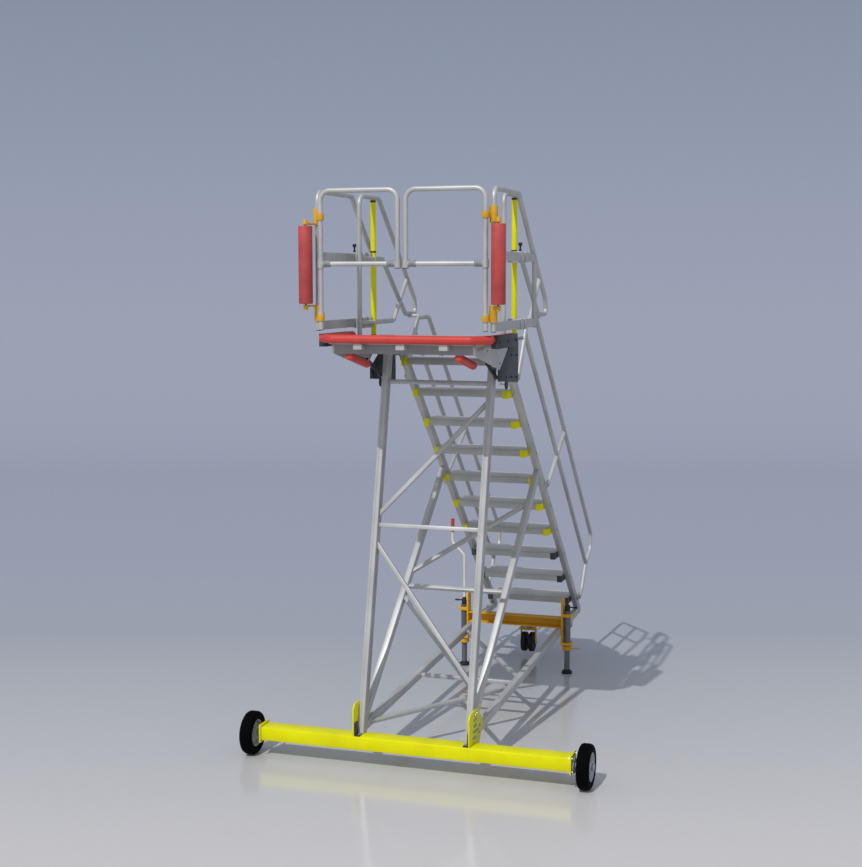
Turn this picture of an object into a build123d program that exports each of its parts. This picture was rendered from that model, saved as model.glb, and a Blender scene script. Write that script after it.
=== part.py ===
from build123d import *
from math import atan2, cos, hypot, sin
import os

# Maintenance access platform: a stair and a railed work deck on two front wheels,
# two rear jacks and a rear caster. Sizes are millimetres, the floor is Z = 0,
# +X is to the right, +Y to the rear, and Y is counted from the front axle until the export.

# Front wheels and axle
wheel_radius = 155
wheel_width = 90
tyre_shoulder = 20
rim_radius = 96
rim_barrel = 14
rim_disc = 16
hub_radius = 40
hub_length = 84
track = 2450
stub_radius = 20
running_clearance = 0.1
nut_radius = 28
nut_length = 12
nut_gap = 3
beam_depth = 140
beam_height = 95
beam_top = 222
end_plate_depth = 160
end_plate_height = 130
end_plate_thickness = 12
hub_disc_radius = 55
hub_disc_thickness = 10
tyre_side_gap = 30

# Half the deck's width: the side frames, plates, guards and rollers keep their places from it
deck_half_width = 550
side_inset = 155
cheek_inset = 60
plate_inset = 80
pad_inset = 165
bumper_overhang = 35
bumper_lug_inset = 250
inner_guard_inset = 20
guard_overhang = 65
gate_overhang = 25
roller_overhang = 120
jack_offset = 70

# Side frames: front post, leaning post, bottom chord and stair stringer share one plane
member_width = 45
post_depth = 80
leaning_depth = 60
chord_depth = 60
stringer_depth = 65
post_foot_y = 38
post_lean = 0.2198
leaning_foot_y = 110
leaning_foot_z = 345
leaning_slope = 0.83
chord_front_y = 80
chord_front_z = 262
chord_slope = 0.04
brace_size = 30

# Foot fittings on the axle beam
foot_bracket_width = 40
foot_bracket_depth = 60
foot_bracket_thickness = 8
foot_bracket_height = 95
gusset_thickness = 10
gusset_front_y = -66
gusset_chamfer_y = -36
gusset_shoulder_y = 146
gusset_rear_y = 276
gusset_foot_y = 182
gusset_side_rise = 195
gusset_rise = 228
gusset_rear_rise = 98
gusset_drop = 42

# Stair
tread_count = 10
tread_rise = 251.9
tread_going = 265.5
first_tread_y = 853.4
first_tread_z = 2784.2
tread_depth = 300
tread_thickness = 50
bracket_thickness = 5
bracket_width = 42
bracket_tab = 6
bracket_drop = 8
bracket_depth = 200
yellow_brackets = 7
stringer_top_y = 900
stringer_foot_z = 366
stringer_inset = 50

# Deck
deck_top = 3000
deck_thickness = 25
deck_front = -200
deck_corner = 58
deck_rear = 900
frame_height = 60
channel_depth = 50
cheek_thickness = 12
cheek_rear = 620
cheek_mid_y = 410
cheek_mid_drop = 190
head_beam_y = 630
head_beam_depth = 100
head_beam_height = 75
pad_radius = 28
pad_front = (-194, 2900)
pad_rear = (165, 2824)

# Bumper tube round the deck's front
bumper_radius = 29.5
bumper_front_y = -260
bumper_z = 3015
bumper_corner = 95
bumper_arm_y = 390
bumper_arm_rows = (0, 190)
bumper_bend = 40
bumper_bracket = 30
bumper_tab = 20
arm_end_front_y = -110
arm_end_low = 2955
arm_end_high = 3042
arm_end_depth = 50

# Dark plates that join deck, posts and stair head
plate_thickness = 12
plate_rear_y = 1000
plate_front_y = 470
plate_notch_y = 832
plate_notch = 137
plate_foot_front_z = 2700
plate_foot_rear_z = 2660
stair_pin_y = 938
stair_pin_radius = 25

# Gas springs under the deck
spring_radius = 14
spring_inset = 55
spring_rod_radius = 6
spring_pin_radius = 7
spring_top_y = 290
spring_top_z = 2848
spring_foot_y = 690
spring_foot_z = 2662
spring_lug_radius = 34
spring_body_share = 0.7

# Rails
rail_radius = 17
inner_front_y = 400
rail_top_z = 4000
inner_mid_share = 0.56
inner_low_z = 3100
inner_top_end_y = 800
nose_y = 1611
nose_z = 3270
nose_run = 45
loop_low_z = 3144
loop_low_y = 1395
return_top_y = 880
brace_tube_y = 1120
low_rail_end_y = 1440
bend_share = 0.07
handrail_bend = 70
loop_bend = 42
grab_tube_y = 685
grab_tube_radius = 19

# Side guards that slide forward past the deck's edge
guard_front_y = -165
guard_rear_y = 930
guard_top_end_y = 468
guard_slope_share = 0.562
flat_bar_height = 60
flat_bar_thickness = 20
guard_low_z = 3070
guard_mid_share = 0.535
slide_gap = 0.5
guide_length = 40
guide_height = 76
guide_wall = 6
guide_rear_y = 640
plunger_y = 525
plunger_radius = 9
plunger_height = 62
plunger_stem = 40
plunger_knob_radius = 14

# Gates between the side guards
gate_y = -215
gate_inner_x = 28
gate_mid_share = 0.515
gate_foot_z = 3075
gate_sleeve_radius = 23
gate_sleeve_length = 56

# Bumper rollers in front of the guards
roller_y = -250
roller_radius = 47.5
roller_low_share = 0.248
roller_high_share = 0.768
spindle_radius = 8
spindle_end_radius = 14
arm_eye_radius = 18
spindle_overhang = 22
arm_thickness = 12
arm_gap = 8
bracket_sleeve_radius = 27
bracket_sleeve_share = 0.11
hinge_ring_radius = 24
hinge_ring_share = 0.044
hinge_ring_rise_share = 0.03
hinge_ring_gap = 4
hinge_strap_width = 20
gate_collar = 16

# Stair handrails
handrail_lug = 4
handrail_start_z = 3114
handrail_bend_y = 1700
handrail_start_y = 1430
handrail_foot_y = 1150
handrail_rear_y = 3870
handrail_drop_z = 905
handrail_return = ((3670, 815), (3497, 594), (3395, 545))
mid_rail_start = (1358, 3002)
mid_rail_foot = (3652, 824)
stair_post_foot_y = 2130
stair_post_top_y = 2745
lug_radius = 24
link_y = 1460
link_radius = 14

# Rear beam, jacks and caster
jack_y = 2800
beam_bracket_thickness = 15
beam_bracket_high = 662
rear_beam_depth = 80
rear_beam_height = 90
jack_bracket_low = 250
jack_bracket_high = 530
jack_bracket_plate = 28
jack_bracket_depth = 92
jack_bracket_reach = 40
housing_radius = 30
housing_wall = 6
housing_low = 200
housing_high = 552
jack_head_radius = 25
jack_head_height = 66
crank_radius = 9
crank_length = 62
ring_radius = 42
ring_height = 34
ring_rise = 8
ring_lever_length = 78
ring_lever_radius = 6
leg_top = 390
foot_radius = 45
foot_height = 35
cross_y = 3230
cross_size = 50
seat_gap = 0.3
cross_inset = 4
caster_plate_size = 104
caster_plate_thickness = 8
race_radius = 40
race_height = 24
swivel_gap = 2
king_pin_radius = 10
crown_thickness = 18
crown_radius = 46
caster_trail = 50
caster_wheel_radius = 88
caster_hub_radius = 29
caster_axle_z = 132
caster_wheel_width = 46
caster_wheel_gap = 22
caster_axle_radius = 8
fork_leg_thickness = 8
fork_leg_depth = 44
fork_leg_gap = 5

# Lever on the left jack
lever_radius = 11
lever_bend = 45
lever_points = ((0, 990), (-110, 1100), (-110, 1190))
grip_radius = 16
grip_length = 120

# Beyond every piece, for cuts
far = 9000

# Lines that the pieces share
side_x = deck_half_width - side_inset
cheek_x = deck_half_width - cheek_inset
plate_x = deck_half_width - plate_inset
pad_x = deck_half_width - pad_inset
bumper_side_x = deck_half_width + bumper_overhang
bumper_lug_x = deck_half_width - bumper_lug_inset
spring_x = cheek_x - spring_inset
inner_guard_x = deck_half_width - inner_guard_inset
guard_x = deck_half_width + guard_overhang
gate_x = deck_half_width + gate_overhang
roller_x = deck_half_width + roller_overhang
jack_x = side_x + jack_offset
rail_height = rail_top_z - deck_top
inner_mid_z = deck_top + inner_mid_share * rail_height
guard_slope_z = deck_top + guard_slope_share * rail_height
guard_mid_z = deck_top + guard_mid_share * rail_height
gate_mid_z = deck_top + gate_mid_share * rail_height
roller_low_z = deck_top + roller_low_share * rail_height
roller_high_z = deck_top + roller_high_share * rail_height
bend_radius = bend_share * rail_height
sleeve_length = bracket_sleeve_share * rail_height
hinge_ring_length = hinge_ring_share * rail_height
slope_drop = (rail_top_z - nose_z) / (nose_y - inner_top_end_y)
outer_face = side_x + member_width / 2
inner_face = side_x - member_width / 2
frame_top = deck_top - deck_thickness
frame_low = frame_top - frame_height
head_beam_low = frame_top - head_beam_height
handrail_x = outer_face + handrail_lug + rail_radius
track_half = track / 2
beam_half = track_half - wheel_width / 2 - tyre_side_gap - hub_disc_thickness - end_plate_thickness
stringer_slope = tread_rise / tread_going
housing_bore = housing_radius - housing_wall
front_reach = roller_y - roller_radius
rear_reach = handrail_rear_y + rail_radius
axle_y = -(front_reach + rear_reach) / 2

os.makedirs("parts", exist_ok=True)


def save(name, *solids):
    """Write one node, moved so that the middle of the platform's length is at Y = 0."""
    shape = solids[0] if len(solids) == 1 else Compound(children=list(solids))
    export_step(Pos(0, axle_y, 0) * shape, "parts/" + name + ".step")


def left(shape):
    """The left-hand twin of a right-hand piece."""
    return mirror(shape, about=Plane.YZ)


def both(shape):
    """Right and left copies of one piece, as two solids."""
    return [*shape.solids(), *left(shape).solids()]


def block(x, y, z):
    """A box from its (low, high) pairs along each axis."""
    size = (x[1] - x[0], y[1] - y[0], z[1] - z[0])
    return Pos((x[0] + x[1]) / 2, (y[0] + y[1]) / 2, (z[0] + z[1]) / 2) * Box(*size)


def side_plate(outline, x_low, thickness):
    """A plate or bar from a (y, z) outline, from x_low outwards."""
    face = make_face(Polyline(*[(x_low, y, z) for y, z in outline], close=True))
    return extrude(face, amount=thickness, dir=(1, 0, 0))


def side_bar(start, end, depth):
    """A straight box section in the right side frame, between two (y, z) points."""
    turn = atan2(end[1] - start[1], end[0] - start[0])
    dy = -sin(turn) * depth / 2
    dz = cos(turn) * depth / 2
    outline = [
        (start[0] + dy, start[1] + dz),
        (end[0] + dy, end[1] + dz),
        (end[0] - dy, end[1] - dz),
        (start[0] - dy, start[1] - dz),
    ]
    return side_plate(outline, inner_face, member_width)


def tube(points, radius, bends=None):
    """A round tube or bar along straight runs that are joined by tangent arcs."""
    if len(points) == 2:
        path = Line(*points)
    else:
        path = FilletPolyline(*points, radius=bends)
    return sweep(Plane(origin=path @ 0, z_dir=path % 0) * Circle(radius), path=path)


def side_tube(x, points, radius, bends=None):
    """A tube in a plane of constant X, from (y, z) points."""
    return tube([(x, y, z) for y, z in points], radius, bends)


def upright(x, y, low, high, radius):
    """A vertical round bar."""
    return Pos(x, y, (low + high) / 2) * Cylinder(radius, high - low)


def crosswise(low, high, y, z, radius):
    """A round bar along X."""
    return Pos((low + high) / 2, y, z) * Rot(0, 90, 0) * Cylinder(radius, high - low)


def post_y(z):
    """Y of the front post's centre line at a height."""
    return post_foot_y + post_lean * (z - beam_top)


def leaning_z(y):
    """Height of the leaning post's centre line."""
    return leaning_foot_z + leaning_slope * (y - leaning_foot_y)


def chord_z(y):
    """Height of the bottom chord's centre line."""
    return chord_front_z + chord_slope * (y - chord_front_y)


def stringer_z(y):
    """Height of the stringer's centre line, through the middles of the treads."""
    middle_y = first_tread_y + tread_depth / 2
    return first_tread_z + tread_thickness / 2 - stringer_slope * (y - middle_y)


def handrail_z(y):
    """Height of the stair handrail's slope."""
    return handrail_start_z - stringer_slope * (y - handrail_bend_y)


# Axle beam with bolted end plates
save("axle_beam", block(
    (-beam_half, beam_half),
    (-beam_depth / 2, beam_depth / 2),
    (beam_top - beam_height, beam_top),
))
plate_middle = beam_top - beam_height / 2
end_plate = block(
    (beam_half, beam_half + end_plate_thickness),
    (-end_plate_depth / 2, end_plate_depth / 2),
    (plate_middle - end_plate_height / 2, plate_middle + end_plate_height / 2),
)
save("axle_end_plates", *both(end_plate))

# Stub axles with their hub discs and outer nuts
disc_low = beam_half + end_plate_thickness
disc_high = disc_low + hub_disc_thickness
nut_low = track_half + hub_length / 2 + nut_gap
stub = crosswise(disc_high, nut_low, 0, wheel_radius, stub_radius)
stub += crosswise(disc_low, disc_high, 0, wheel_radius, hub_disc_radius)
stub += crosswise(nut_low, nut_low + nut_length, 0, wheel_radius, nut_radius)
save("stub_axles", *both(stub))

# Front wheels
tyre = Cylinder(wheel_radius, wheel_width) - Cylinder(rim_radius, wheel_width)
tyre = fillet(tyre.edges().filter_by(GeomType.CIRCLE).sort_by(SortBy.RADIUS)[-2:], tyre_shoulder)
rim = Cylinder(rim_radius, wheel_width - tyre_shoulder) - Cylinder(rim_radius - rim_barrel, wheel_width)
rim += Cylinder(rim_radius, rim_disc)
rim += Cylinder(hub_radius, hub_length)
rim -= Cylinder(stub_radius + running_clearance, hub_length)
wheel_place = Pos(track_half, 0, wheel_radius) * Rot(0, 90, 0)
save("tyre_right", wheel_place * tyre)
save("tyre_left", left(wheel_place * tyre))
save("rim_right", wheel_place * rim)
save("rim_left", left(wheel_place * rim))

# Side frames: stringers, front posts, leaning posts and bottom chords
last_tread_y = first_tread_y + (tread_count - 1) * tread_going
stringer_foot_y = last_tread_y + tread_depth - stringer_inset
stringer_end_y = stringer_foot_y + stringer_depth
stringer_head = (stringer_top_y, stringer_z(stringer_top_y))
stringer_foot = (stringer_end_y, stringer_z(stringer_end_y))
stringer = side_bar(stringer_head, stringer_foot, stringer_depth)
stringer -= block((0, far), (stringer_foot_y - 2 * stringer_depth, far), (0, stringer_foot_z))
post = side_bar((post_y(0), 0), (post_y(deck_top), deck_top), post_depth)
post &= block((0, far), (-far, far), (beam_top, head_beam_low))
chord = side_bar((0, chord_z(0)), (stringer_end_y, chord_z(stringer_end_y)), chord_depth)
chord -= post
chord -= stringer
chord = chord.solids().sort_by(Axis.Y)[1]
leaning = side_bar((0, leaning_z(0)), (stringer_end_y, leaning_z(stringer_end_y)), leaning_depth)
leaning -= post
leaning -= stringer
leaning -= chord
leaning = leaning.solids().sort_by(Axis.Y)[1]
save("stringers", *both(stringer))
for name, shape in (("front_post", post), ("leaning_post", leaning), ("bottom_chord", chord)):
    save(name + "_right", shape)
    save(name + "_left", left(shape))


def brace(start, end, normal):
    """A square tube in the plane with this normal, cut flush with the side frames' inner faces."""
    run = Vector(*end) - Vector(*start)
    place = Plane(origin=(Vector(*start) + Vector(*end)) * 0.5, x_dir=normal, z_dir=run)
    bar = place * Box(brace_size, brace_size, run.length + 4 * brace_size)
    return bar & block((-inner_face, inner_face), (-far, far), (0, far))


# Columns: height at the left front post, height at the right front post
front_braces = ((2675, 2675), (1660, 1660), (1720, 2560), (1549, 601))
bracing = [
    brace((-side_x, post_y(low), low), (side_x, post_y(high), high), (0, 1, -post_lean))
    for low, high in front_braces
]

# Columns: Y at the left leaning post, Y at the right leaning post
leaning_braces = ((1000, 1000), (1100, 1690), (930, 270))
bracing += [
    brace((-side_x, a, leaning_z(a)), (side_x, b, leaning_z(b)), (0, leaning_slope, -1))
    for a, b in leaning_braces
]

# Columns: Y at the left chord, Y at the right chord
chord_braces = ((1300, 1300), (150, 1190), (2600, 1420))
bracing += [
    brace((-side_x, a, chord_z(a)), (side_x, b, chord_z(b)), (0, chord_slope, -1))
    for a, b in chord_braces
]
save("bracing", *bracing)

# Dark angle brackets in front of the post feet, and yellow gussets beside them
bracket_front = post_y(beam_top) - post_depth / 2
bracket_y = (bracket_front - foot_bracket_depth, bracket_front)
foot_bracket = block((outer_face - foot_bracket_width, outer_face), bracket_y,
                     (beam_top, beam_top + foot_bracket_thickness))
foot_bracket += block((outer_face - foot_bracket_thickness, outer_face), bracket_y,
                      (beam_top, beam_top + foot_bracket_height))
save("foot_brackets", *both(foot_bracket - post))
gusset_outline = (
    (gusset_front_y, beam_top),
    (gusset_front_y, beam_top + gusset_side_rise),
    (gusset_chamfer_y, beam_top + gusset_rise),
    (gusset_shoulder_y, beam_top + gusset_rise),
    (gusset_rear_y, beam_top + gusset_rear_rise),
    (gusset_foot_y, beam_top - gusset_drop),
    (beam_depth / 2, beam_top - gusset_drop),
    (beam_depth / 2, beam_top),
)
save("gusset_plates", *both(side_plate(gusset_outline, outer_face, gusset_thickness)))

# Treads and their end brackets
treads = []
brackets = []
for step in range(tread_count):
    y = first_tread_y + step * tread_going
    z = first_tread_z - step * tread_rise
    reach = inner_face - bracket_thickness
    treads.append(block((-reach, reach), (y, y + tread_depth), (z, z + tread_thickness)))
    across = (inner_face - bracket_width, inner_face)
    height = (z - bracket_drop, z + tread_thickness)
    angle = block((reach, inner_face), (y, y + bracket_depth), height)
    angle += block(across, (y - bracket_tab, y), height)
    angle += block(across, (y - bracket_tab, y + bracket_depth), (z - bracket_drop, z))
    brackets.append(both(angle))
save("treads", *treads)
save("tread_brackets_upper", *[solid for pair in brackets[:yellow_brackets] for solid in pair])
save("tread_brackets_lower", *[solid for pair in brackets[yellow_brackets:] for solid in pair])

# Deck panel, and the frame under it
deck = block((-deck_half_width, deck_half_width), (deck_front, deck_rear), (frame_top, deck_top))
front_corners = deck.edges().filter_by(Axis.Z).sort_by(Axis.Y)[:2]
save("deck_panel", chamfer(front_corners, deck_corner))
bumper_path = [
    (-bumper_side_x, bumper_arm_y, 0),
    (-bumper_side_x, bumper_front_y + bumper_corner, 0),
    (-bumper_side_x + bumper_corner, bumper_front_y, 0),
    (bumper_side_x - bumper_corner, bumper_front_y, 0),
    (bumper_side_x, bumper_front_y + bumper_corner, 0),
    (bumper_side_x, bumper_arm_y, 0),
]
bumper = tube([(x, y, bumper_z) for x, y, _ in bumper_path], bumper_radius, bumper_bend)
save("bumper", bumper)
cheek_outline = (
    (deck_front, frame_top),
    (cheek_rear, frame_top),
    (cheek_rear, frame_low),
    (cheek_mid_y, frame_top - cheek_mid_drop),
    (deck_front, frame_low),
)
cheek = side_plate(cheek_outline, cheek_x, cheek_thickness)
deck_frame = cheek + left(cheek)
for y in (deck_front, 0, cheek_mid_y):
    deck_frame += block((-cheek_x, cheek_x), (y, y + channel_depth), (frame_low, frame_top))
lug_low = frame_top - bumper_bracket
for x in (-bumper_lug_x, 0, bumper_lug_x):
    across = (x - bumper_bracket, x + bumper_bracket)
    deck_frame += block(across, (bumper_front_y, deck_front), (lug_low, frame_top))
    deck_frame += block(across, (bumper_front_y, bumper_front_y + bumper_tab), (lug_low, bumper_z))
for y in bumper_arm_rows:
    along = (y, y + bumper_bracket)
    arm = block((cheek_x, bumper_side_x), along, (lug_low, frame_top))
    arm += block((bumper_side_x - bumper_tab, bumper_side_x), along, (lug_low, bumper_z))
    deck_frame += arm + left(arm)
deck_frame -= bumper
save("deck_frame", deck_frame)
arm_end = block((bumper_side_x, bumper_side_x + arm_end_depth), (arm_end_front_y, bumper_arm_y),
                (arm_end_low, arm_end_high))
save("bumper_ends", *both(arm_end - bumper))
head_beam = block(
    (-plate_x, plate_x),
    (head_beam_y - head_beam_depth / 2, head_beam_y + head_beam_depth / 2),
    (head_beam_low, frame_top),
)
rear_beam_y = (deck_rear - channel_depth, deck_rear)
save("deck_beams", head_beam, block((-plate_x, plate_x), rear_beam_y, (frame_low, frame_top)))

# Red sloping pads under the deck's front corners
pad = side_tube(pad_x, (pad_front, pad_rear), pad_radius)
pad = fillet(pad.edges(), pad_radius / 2)
save("under_pads", *both(pad - deck_frame))

# Dark side plates that carry the deck, and the pin at the stair's head
plate_outline = (
    (plate_front_y, plate_foot_front_z),
    (plate_front_y, frame_low - plate_notch),
    (plate_notch_y, frame_top),
    (plate_rear_y, frame_top),
    (plate_rear_y, plate_foot_rear_z),
)
side_joint = side_plate(plate_outline, plate_x, plate_thickness)
side_joint += crosswise(plate_x, plate_x + plate_thickness, spring_foot_y, spring_foot_z, spring_lug_radius)
side_joint += crosswise(outer_face, plate_x, stair_pin_y, stringer_z(stair_pin_y), stair_pin_radius)
save("side_plates", *both(side_joint))

# Gas springs between the cheeks and the side plates
spring_top = (spring_top_y, spring_top_z)
spring_foot = (spring_foot_y, spring_foot_z)
body_end = [a + spring_body_share * (b - a) for a, b in zip(spring_top, spring_foot)]
spring_body = side_tube(spring_x, (spring_top, body_end), spring_radius)
spring_body += crosswise(spring_x, cheek_x, spring_top_y, spring_top_z, spring_pin_radius)
save("gas_spring_bodies", *both(spring_body))
spring_rod = side_tube(spring_x, (body_end, spring_foot), spring_rod_radius)
spring_rod += crosswise(spring_x, plate_x, spring_foot_y, spring_foot_z, spring_pin_radius)
save("gas_spring_rods", *both(spring_rod))

# Fixed inner guards: a post, top rail, sloping loop, return and middle rail in one bent tube
guard_loop = (
    (inner_front_y, deck_top),
    (inner_front_y, rail_top_z),
    (inner_top_end_y, rail_top_z),
    (nose_y, nose_z),
    (nose_y + nose_run, loop_low_z),
    (loop_low_y, loop_low_z),
    (return_top_y, inner_mid_z),
    (inner_front_y, inner_mid_z),
)
loop_bends = [bend_radius, bend_radius, loop_bend, loop_bend, loop_bend, bend_radius]
inner_guard = side_tube(inner_guard_x, guard_loop, rail_radius, loop_bends)
low_rail_end_z = rail_top_z - slope_drop * (low_rail_end_y - inner_top_end_y)
low_rail = ((inner_front_y, inner_low_z), (brace_tube_y, inner_low_z), (low_rail_end_y, low_rail_end_z))
inner_guard += side_tube(inner_guard_x, low_rail, rail_radius, [bend_radius])

# Yellow grab tubes in the inner guards, from the deck to the top rail
grab_tube = upright(inner_guard_x, grab_tube_y, deck_top, rail_top_z - rail_radius, grab_tube_radius)
inner_guard -= grab_tube
save("grab_tubes", *both(grab_tube))
save("inner_guard_right", inner_guard)
save("inner_guard_left", left(inner_guard))

# Guides on the inner guards that carry the sliding guards
guides = []
flat_face = guard_x - flat_bar_thickness / 2
for y in (plunger_y, guide_rear_y):
    for low in (guard_low_z, guard_mid_z):
        z = low + flat_bar_height / 2
        guide = block(
            (inner_guard_x, flat_face + flat_bar_thickness + guide_wall),
            (y - guide_length / 2, y + guide_length / 2),
            (z - guide_height / 2, z + guide_height / 2),
        )
        guide -= block(
            (flat_face - slide_gap, flat_face + flat_bar_thickness + slide_gap),
            (y - guide_length, y + guide_length),
            (low - slide_gap, low + flat_bar_height + slide_gap),
        )
        guides += both(guide - inner_guard)
save("guard_guides", *guides)

# Sliding side guards with flat toe and middle bars
guard_path = (
    (guard_front_y, guard_low_z),
    (guard_front_y, rail_top_z),
    (guard_top_end_y, rail_top_z),
    (guard_rear_y, guard_slope_z),
    (guard_rear_y, guard_low_z),
)
guard = side_tube(guard_x, guard_path, rail_radius, bend_radius)
for z in (guard_low_z, guard_mid_z):
    guard += block(
        (flat_face, flat_face + flat_bar_thickness),
        (guard_front_y, guard_rear_y - rail_radius + 3),
        (z, z + flat_bar_height),
    )
save("side_guard_right", guard)
save("side_guard_left", left(guard))
plunger_low = guard_mid_z + (flat_bar_height + guide_height) / 2
plunger = upright(guard_x, plunger_y, plunger_low, plunger_low + plunger_height, plunger_radius)
plunger += upright(guard_x, plunger_y, plunger_low + plunger_stem, plunger_low + plunger_height,
                   plunger_knob_radius)
save("plungers", *both(plunger))

# Gates: half-height tube loops that turn about their outer posts
gate_path = (
    (gate_x, gate_y, gate_foot_z),
    (gate_x, gate_y, rail_top_z),
    (gate_inner_x, gate_y, rail_top_z),
    (gate_inner_x, gate_y, gate_mid_z - gate_sleeve_length / 2),
)
gate = tube(gate_path, rail_radius, bend_radius)
gate += crosswise(gate_inner_x, gate_x, gate_y, gate_mid_z, rail_radius)
for x in (gate_inner_x, gate_x):
    gate += upright(x, gate_y, gate_mid_z - gate_sleeve_length / 2, gate_mid_z + gate_sleeve_length / 2,
                    gate_sleeve_radius)
low_arm = roller_low_z - arm_gap - arm_thickness
low_sleeve = low_arm + arm_thickness - sleeve_length
ring_low = low_sleeve + hinge_ring_gap
collar_low = ring_low + hinge_ring_length + running_clearance
gate += upright(gate_x, gate_y, collar_low, collar_low + gate_collar, gate_sleeve_radius)
save("gate_right", gate)
save("gate_left", left(gate))

# Rollers, and the orange brackets that clamp to the guard, carry the spindle and hinge the gate
roller = upright(roller_x, roller_y, roller_low_z, roller_high_z, roller_radius)
roller -= upright(roller_x, roller_y, roller_low_z, roller_high_z, spindle_radius + running_clearance)
save("roller_right", roller)
save("roller_left", left(roller))


def strap(start, end, width, low, high):
    """An upright plate between two (x, y) points."""
    middle = ((start[0] + end[0]) / 2, (start[1] + end[1]) / 2)
    run = (end[0] - start[0], end[1] - start[1], 0)
    place = Plane(origin=(*middle, (low + high) / 2), x_dir=run, z_dir=(0, 0, 1))
    return place * Box(hypot(*run), width, high - low)


def roller_bracket(arm_low, sleeve_low, ring_low):
    """One bracket: sleeve on the guard's riser, ring round the gate post, arm to the spindle."""
    riser = (guard_x, guard_front_y)
    shape = upright(*riser, sleeve_low, sleeve_low + sleeve_length, bracket_sleeve_radius)
    shape += upright(gate_x, gate_y, ring_low, ring_low + hinge_ring_length, hinge_ring_radius)
    shape += strap(riser, (gate_x, gate_y), hinge_strap_width, ring_low, ring_low + hinge_ring_length)
    shape += strap(riser, (roller_x, roller_y), 2 * spindle_end_radius, arm_low, arm_low + arm_thickness)
    shape += upright(roller_x, roller_y, arm_low, arm_low + arm_thickness, arm_eye_radius)
    shape -= guard
    shape -= upright(gate_x, gate_y, 0, far, rail_radius + running_clearance)
    return shape


top_arm = roller_high_z + arm_gap
top_bracket = roller_bracket(top_arm, top_arm, top_arm + hinge_ring_rise_share * rail_height)
low_bracket = roller_bracket(low_arm, low_sleeve, ring_low)
spindle = upright(roller_x, roller_y, low_arm, top_arm + arm_thickness, spindle_radius)
spindle_top = top_arm + arm_thickness + spindle_overhang
spindle += upright(roller_x, roller_y, top_arm, spindle_top, spindle_end_radius)
spindle += upright(roller_x, roller_y, low_arm - spindle_overhang, low_arm + arm_thickness, spindle_end_radius)
brackets = top_bracket + low_bracket + spindle
save("roller_brackets_right", brackets)
save("roller_brackets_left", left(brackets))

# Stair handrails with middle rail, post and bolt lugs
handrail_path = [
    (handrail_foot_y, stringer_z(handrail_foot_y)),
    (handrail_start_y, handrail_start_z),
    (handrail_bend_y, handrail_start_z),
    (handrail_rear_y, handrail_z(handrail_rear_y)),
    (handrail_rear_y, handrail_drop_z),
    *handrail_return,
]
handrail_bends = [handrail_bend, handrail_bend, handrail_bend, handrail_bend, handrail_bend, loop_bend]
handrail = side_tube(handrail_x, handrail_path, rail_radius, handrail_bends)
handrail += side_tube(handrail_x, (mid_rail_start, mid_rail_foot), rail_radius)
stair_post = (
    (stair_post_foot_y, stringer_z(stair_post_foot_y)),
    (stair_post_top_y, handrail_z(stair_post_top_y)),
)
handrail += side_tube(handrail_x, stair_post, rail_radius)
for y, z in (handrail_path[0], stair_post[0], handrail_path[-1]):
    handrail += crosswise(outer_face, handrail_x, y, z, lug_radius)
link = crosswise(handrail_x, inner_guard_x, link_y, (handrail_start_z + loop_low_z) / 2, link_radius)
handrail += link - inner_guard
save("handrail_right", handrail)
save("handrail_left", left(handrail))

# Rear beam on the chords, with a bracket, housing and head for each jack
rear_beam_low = chord_z(jack_y) + chord_depth / 2
rear_beam = block(
    (-outer_face, outer_face),
    (jack_y - rear_beam_depth / 2, jack_y + rear_beam_depth / 2),
    (rear_beam_low, rear_beam_low + rear_beam_height),
)
rear_beam = rear_beam - chord - left(chord)
save("rear_beam", rear_beam)
bracket_y = (jack_y - jack_bracket_depth / 2, jack_y + jack_bracket_depth / 2)
jack_bracket = block((outer_face, outer_face + beam_bracket_thickness), bracket_y,
                     (jack_bracket_low, beam_bracket_high))
for z in (jack_bracket_low, jack_bracket_high - jack_bracket_plate):
    jack_bracket += block((outer_face, jack_x + jack_bracket_reach), bracket_y, (z, z + jack_bracket_plate))
housing = upright(jack_x, jack_y, housing_low, housing_high, housing_radius)
jack_bracket -= housing
save("jack_brackets", *both(jack_bracket))
housing -= upright(jack_x, jack_y, housing_low, housing_high, housing_bore)
save("jack_housings", *both(housing))
head = upright(jack_x, jack_y, housing_high, housing_high + jack_head_height, jack_head_radius)
head += crosswise(jack_x, jack_x + crank_length, jack_y, housing_high + jack_head_height / 2, crank_radius)
save("jack_heads", *both(head))
ring_low = housing_low + ring_rise
ring_end_x = jack_x + ring_radius + ring_lever_length
ring = upright(jack_x, jack_y, ring_low, ring_low + ring_height, ring_radius)
ring += crosswise(jack_x, ring_end_x, jack_y, ring_low + ring_height / 2, ring_lever_radius)
ring -= upright(jack_x, jack_y, housing_low, housing_high, housing_radius)
save("jack_rings", *both(ring))
leg = upright(jack_x, jack_y, foot_height, leg_top, housing_bore - running_clearance)
foot = upright(jack_x, jack_y, 0, foot_height, foot_radius)
save("jack_leg_right", leg)
save("jack_leg_left", left(leg))
save("jack_foot_right", foot)
save("jack_foot_left", left(foot))

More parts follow.
